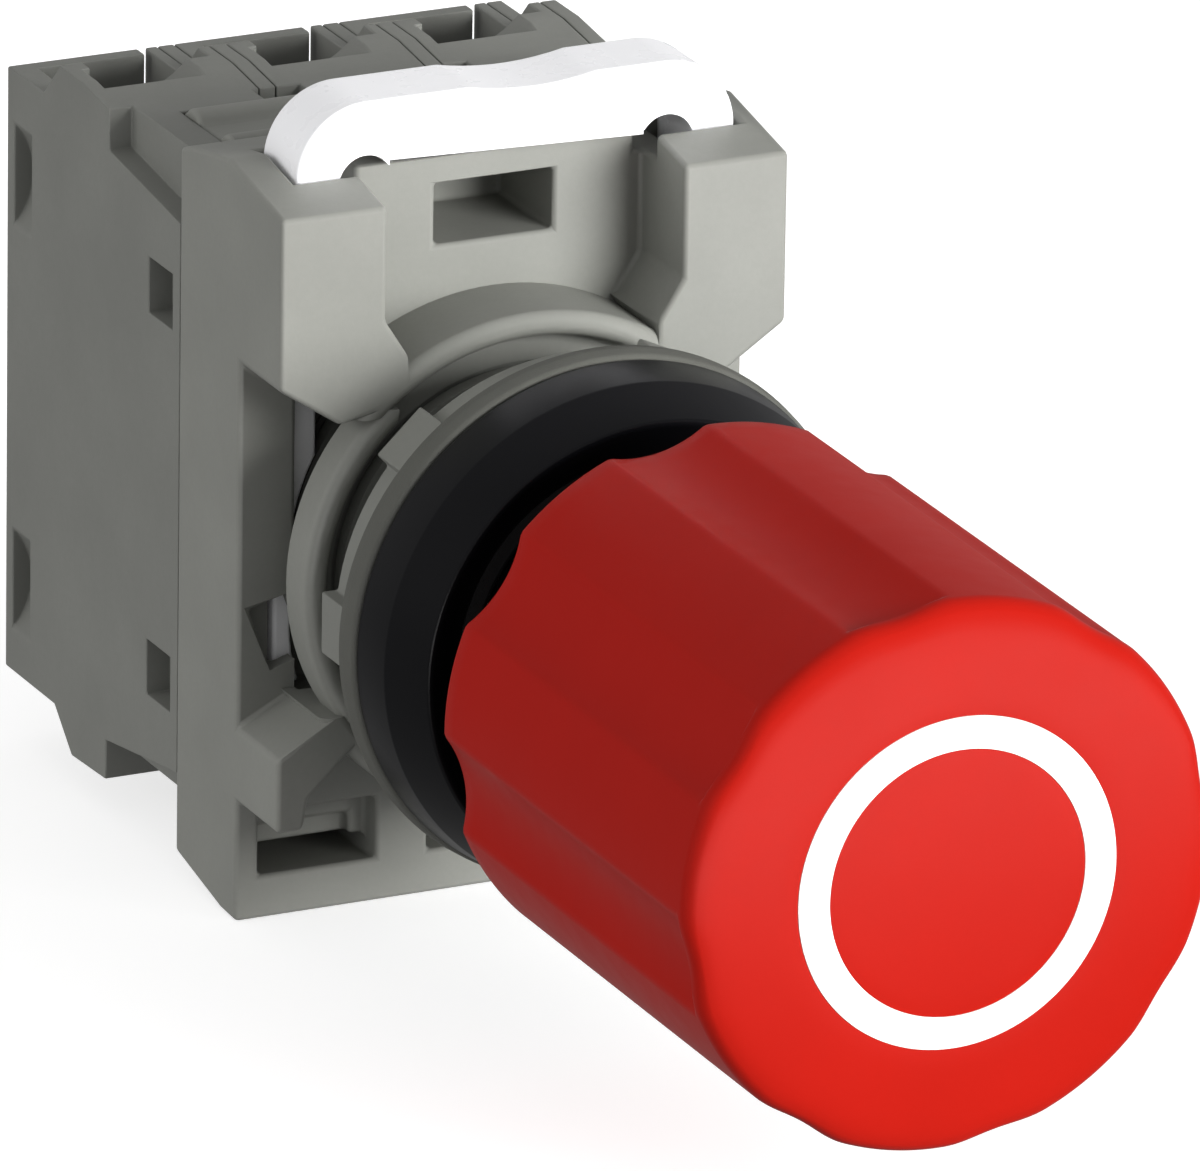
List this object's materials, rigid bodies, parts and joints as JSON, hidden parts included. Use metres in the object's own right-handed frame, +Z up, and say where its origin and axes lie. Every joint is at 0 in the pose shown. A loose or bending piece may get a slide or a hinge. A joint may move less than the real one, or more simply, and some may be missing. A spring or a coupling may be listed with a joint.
{
  "type": "emergency stop button",
  "caption": "Emergency stop button with a fluted twist-to-release head, a black bezel, a clip-on holder with a sliding lock yoke, and contact blocks with screw terminals.",
  "frame": {"origin": "on the button's axis, in the plane of the panel's front face (the rear face of the collar)", "axes": "+Y along the axis, from the head towards the contact blocks; +Z up, towards the lock yoke; +X to the right seen from the front"},
  "size_m": [0.0304, 0.0891, 0.0466],
  "materials": {
    "red_plastic": "satin",
    "white_mark": "satin",
    "white_plastic": "gloss",
    "black_plastic": "satin",
    "black_rubber": "matte",
    "grey_rubber": "matte",
    "dark_grey_plastic": "satin",
    "grey_plastic": "satin",
    "cream_plastic": "satin",
    "plunger_plastic": "satin",
    "bright_steel": "polished",
    "zinc_steel": "satin",
    "spring_steel": "satin",
    "contact_brass": "satin"
  },
  "bodies": {
    "operator": {"operator_body": "dark_grey_plastic", "bezel": "black_plastic", "front_seal": "black_rubber", "panel_gasket": "grey_rubber", "locating_collar": "dark_grey_plastic", "latch_balls": "bright_steel", "latch_ring_spring": "spring_steel", "return_spring": "spring_steel", "spring_seat": "zinc_steel"},
    "carriage": {"spindle": "bright_steel", "spindle_screw": "zinc_steel", "spindle_clip": "zinc_steel", "pusher": "cream_plastic"},
    "head": {"red_head": "red_plastic", "head_ring_mark": "white_mark", "head_hub": "black_plastic", "release_cam": "cream_plastic"},
    "holder": {"holder_frame": "grey_plastic", "block_left_housing": "grey_plastic", "block_left_cover": "grey_plastic", "block_left_spring": "spring_steel", "block_left_contacts": "contact_brass", "block_left_clamps": "zinc_steel", "block_left_screws": "zinc_steel", "block_centre_housing": "grey_plastic", "block_centre_cover": "grey_plastic", "block_centre_spring": "spring_steel", "block_centre_contacts": "contact_brass", "block_centre_clamps": "zinc_steel", "block_centre_screws": "zinc_steel", "block_right_housing": "grey_plastic", "block_right_cover": "grey_plastic", "block_right_spring": "spring_steel", "block_right_contacts": "contact_brass", "block_right_clamps": "zinc_steel", "block_right_screws": "zinc_steel"},
    "yoke": {"lock_yoke": "white_plastic"},
    "plunger_left": {"block_left_plunger": "plunger_plastic", "block_left_bridge": "contact_brass"},
    "plunger_centre": {"block_centre_plunger": "plunger_plastic", "block_centre_bridge": "contact_brass"},
    "plunger_right": {"block_right_plunger": "plunger_plastic", "block_right_bridge": "contact_brass"}
  },
  "joints": [
    {"name": "head_push", "type": "slide", "parent": "operator", "child": "carriage", "axis": [0, 1, 0], "range_m": [0, 0.0055], "stiffness_N_per_m": 1500, "springref_m": -0.004, "deforming": ["return_spring"]},
    {"name": "head_twist", "type": "hinge", "parent": "carriage", "child": "head", "pos_m": [0, -0.03, 0], "axis": [0, 1, 0], "range_deg": [0, 45], "stiffness_Nm_per_rad": 0.05, "springref_deg": -17.19},
    {"name": "holder_pull", "type": "slide", "parent": "operator", "child": "holder", "axis": [0, 1, 0], "range_m": [0, 0.03]},
    {"name": "yoke_lift", "type": "slide", "parent": "holder", "child": "yoke", "axis": [0, 0, 1], "range_m": [0, 0.004]},
    {"name": "plunger_left_slide", "type": "slide", "parent": "holder", "child": "plunger_left", "axis": [0, 1, 0], "range_m": [0, 0.0055], "stiffness_N_per_m": 60, "springref_m": -0.003, "deforming": ["block_left_spring"]},
    {"name": "plunger_centre_slide", "type": "slide", "parent": "holder", "child": "plunger_centre", "axis": [0, 1, 0], "range_m": [0, 0.0055], "stiffness_N_per_m": 60, "springref_m": -0.003, "deforming": ["block_centre_spring"]},
    {"name": "plunger_right_slide", "type": "slide", "parent": "holder", "child": "plunger_right", "axis": [0, 1, 0], "range_m": [0, 0.0055], "stiffness_N_per_m": 60, "springref_m": -0.003, "deforming": ["block_right_spring"]}
  ],
  "couplings": [
    {"joint": "plunger_left_slide", "follows": "head_push", "ratio": 1},
    {"joint": "plunger_centre_slide", "follows": "head_push", "ratio": 1},
    {"joint": "plunger_right_slide", "follows": "head_push", "ratio": 1}
  ]
}
